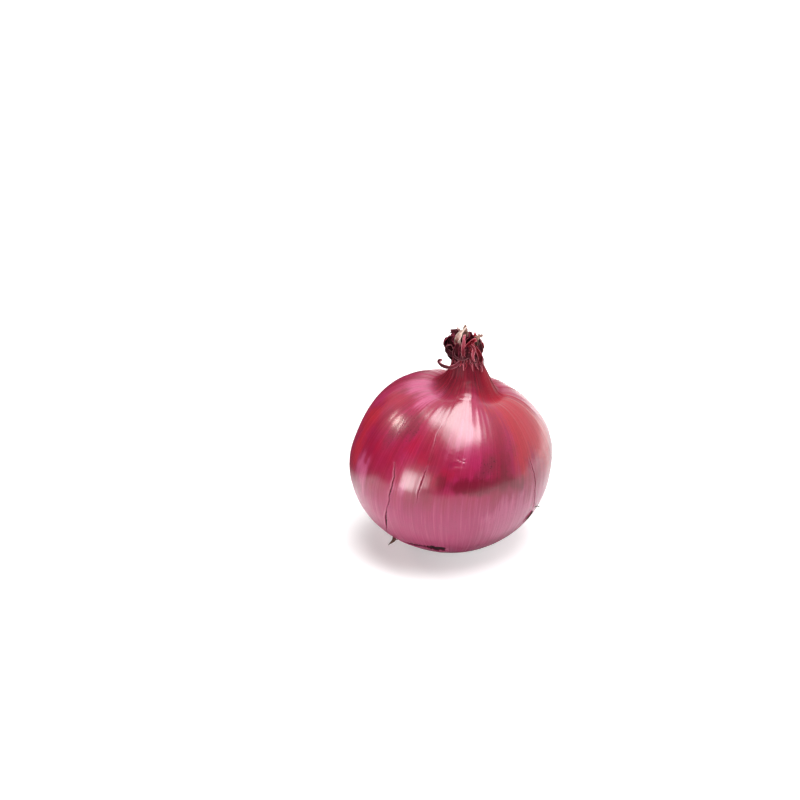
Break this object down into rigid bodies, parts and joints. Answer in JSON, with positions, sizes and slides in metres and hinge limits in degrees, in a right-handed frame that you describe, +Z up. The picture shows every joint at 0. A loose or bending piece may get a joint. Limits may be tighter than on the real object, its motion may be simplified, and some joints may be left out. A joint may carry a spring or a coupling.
{
  "type": "red onion",
  "caption": "Whole cured red onion standing upright, with papery crimson skin, a dry neck with a tuft of withered leaf ends, and a root plate with trimmed roots.",
  "frame": {"origin": "middle of the small flat spot under the root plate, which the onion rests on", "axes": "+Z up through the bulb to the neck, +X towards the side that the neck stands nearer to, -Y towards the side seen from the front"},
  "size_m": [0.0796, 0.0794, 0.0936],
  "materials": {
    "bulb_skin": "glossy papery skin with fine lengthwise veins, mottled crimson, pink and violet",
    "withered_leaf": "dry, crumpled and fibrous, dark maroon with pale pink and straw edges",
    "torn_skin": "dry, brittle, matt brown",
    "root_plate": "rough matt cork",
    "root": "dry matt fibre"
  },
  "bodies": {
    "root": {"bulb": "bulb_skin", "root_plate": "root_plate", "root_01": "root", "root_02": "root", "root_03": "root", "root_04": "root", "root_05": "root", "root_06": "root", "root_07": "root", "root_08": "root", "root_09": "root", "root_10": "root", "root_11": "root", "root_12": "root", "root_13": "root", "root_14": "root", "root_15": "root", "root_16": "root", "root_17": "root", "root_18": "root", "dry_leaf_01": "withered_leaf", "dry_leaf_02": "withered_leaf", "dry_leaf_03": "withered_leaf", "dry_leaf_04": "withered_leaf", "dry_leaf_05": "withered_leaf", "dry_leaf_06": "withered_leaf", "dry_leaf_07": "withered_leaf", "dry_leaf_08": "withered_leaf", "dry_leaf_09": "withered_leaf", "dry_leaf_10": "withered_leaf", "dry_leaf_11": "withered_leaf", "dry_leaf_12": "withered_leaf", "dry_strand": "withered_leaf", "torn_skin_left": "torn_skin", "torn_skin_right": "torn_skin"}
  },
  "joints": []
}
